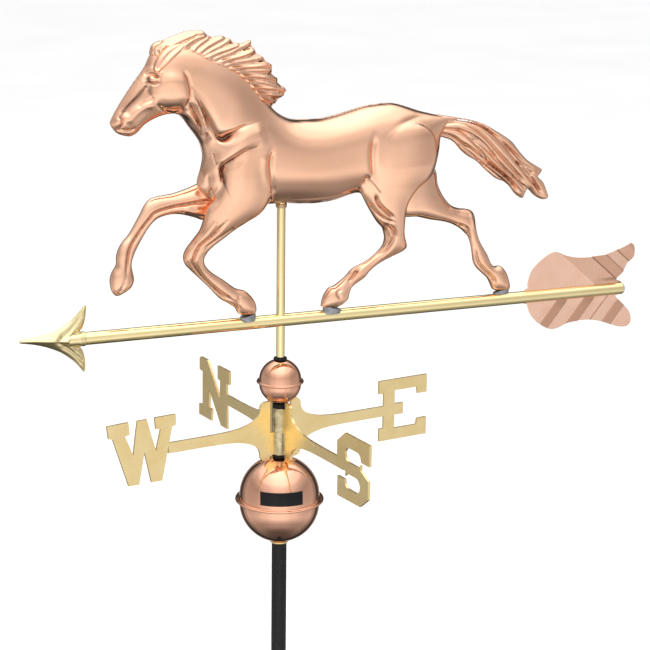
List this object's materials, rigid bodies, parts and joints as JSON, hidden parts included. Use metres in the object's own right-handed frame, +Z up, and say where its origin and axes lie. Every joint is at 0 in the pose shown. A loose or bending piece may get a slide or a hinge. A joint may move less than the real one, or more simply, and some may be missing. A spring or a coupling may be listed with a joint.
{
  "type": "weather vane",
  "caption": "Weather vane: a running horse over an arrow turns on a rod above compass letters and two globes, on a round pole.",
  "frame": {"origin": "foot of the pole, on the spin axis", "axes": "+Z up along the pole; the arrow lies along X with its point towards -X; the horse's left side faces -Y"},
  "size_m": [0.824, 0.4276, 0.954],
  "materials": {
    "pole_black": "satin",
    "steel_rod": "turned",
    "mirror_copper": "mirror polished",
    "satin_copper": "satin",
    "polished_brass": "polished",
    "satin_brass": "brushed flat",
    "cast_brass": "cast and polished",
    "bush_bronze": "turned",
    "black_rubber": "matte",
    "label_black": "gloss",
    "screw_steel": "turned",
    "grey_solder": "cast"
  },
  "bodies": {
    "mast": {"steel_pole": "pole_black", "pole_collar": "polished_brass", "spindle_rod": "steel_rod", "large_globe_lower": "mirror_copper", "large_globe_upper": "mirror_copper", "globe_label": "label_black", "lower_rubber_ring": "black_rubber", "upper_rubber_ring": "black_rubber", "top_rubber_washer": "black_rubber", "directional_east_west": "satin_brass", "directional_north_south": "satin_brass", "letter_set_screws": "screw_steel", "small_globe_lower": "mirror_copper", "small_globe_upper": "mirror_copper", "bearing_ball": "screw_steel"},
    "vane": {"spindle_tube": "polished_brass", "guide_bushes": "bush_bronze", "bearing_plug": "polished_brass", "arrow_shaft": "polished_brass", "shaft_end_cap": "polished_brass", "arrow_head": "cast_brass", "arrow_ferrule": "polished_brass", "tail_fin_upper": "satin_copper", "tail_fin_lower": "satin_copper", "belly_ferrule": "polished_brass", "hoof_solder_pads": "grey_solder", "horse_body_left": "mirror_copper", "horse_body_right": "mirror_copper", "tail_left": "mirror_copper", "tail_right": "mirror_copper", "mane_left": "mirror_copper", "mane_right": "mirror_copper", "ear_left": "mirror_copper", "ear_right": "mirror_copper", "foreleg_left_left_shell": "mirror_copper", "foreleg_left_right_shell": "mirror_copper", "foreleg_right_left_shell": "mirror_copper", "foreleg_right_right_shell": "mirror_copper", "hindleg_left_left_shell": "mirror_copper", "hindleg_left_right_shell": "mirror_copper", "hindleg_right_left_shell": "mirror_copper", "hindleg_right_right_shell": "mirror_copper"}
  },
  "joints": [
    {"name": "vane_spin", "type": "hinge", "parent": "mast", "child": "vane", "pos_m": [0, 0, 0.65], "axis": [0, 0, 1], "continuous": true}
  ]
}
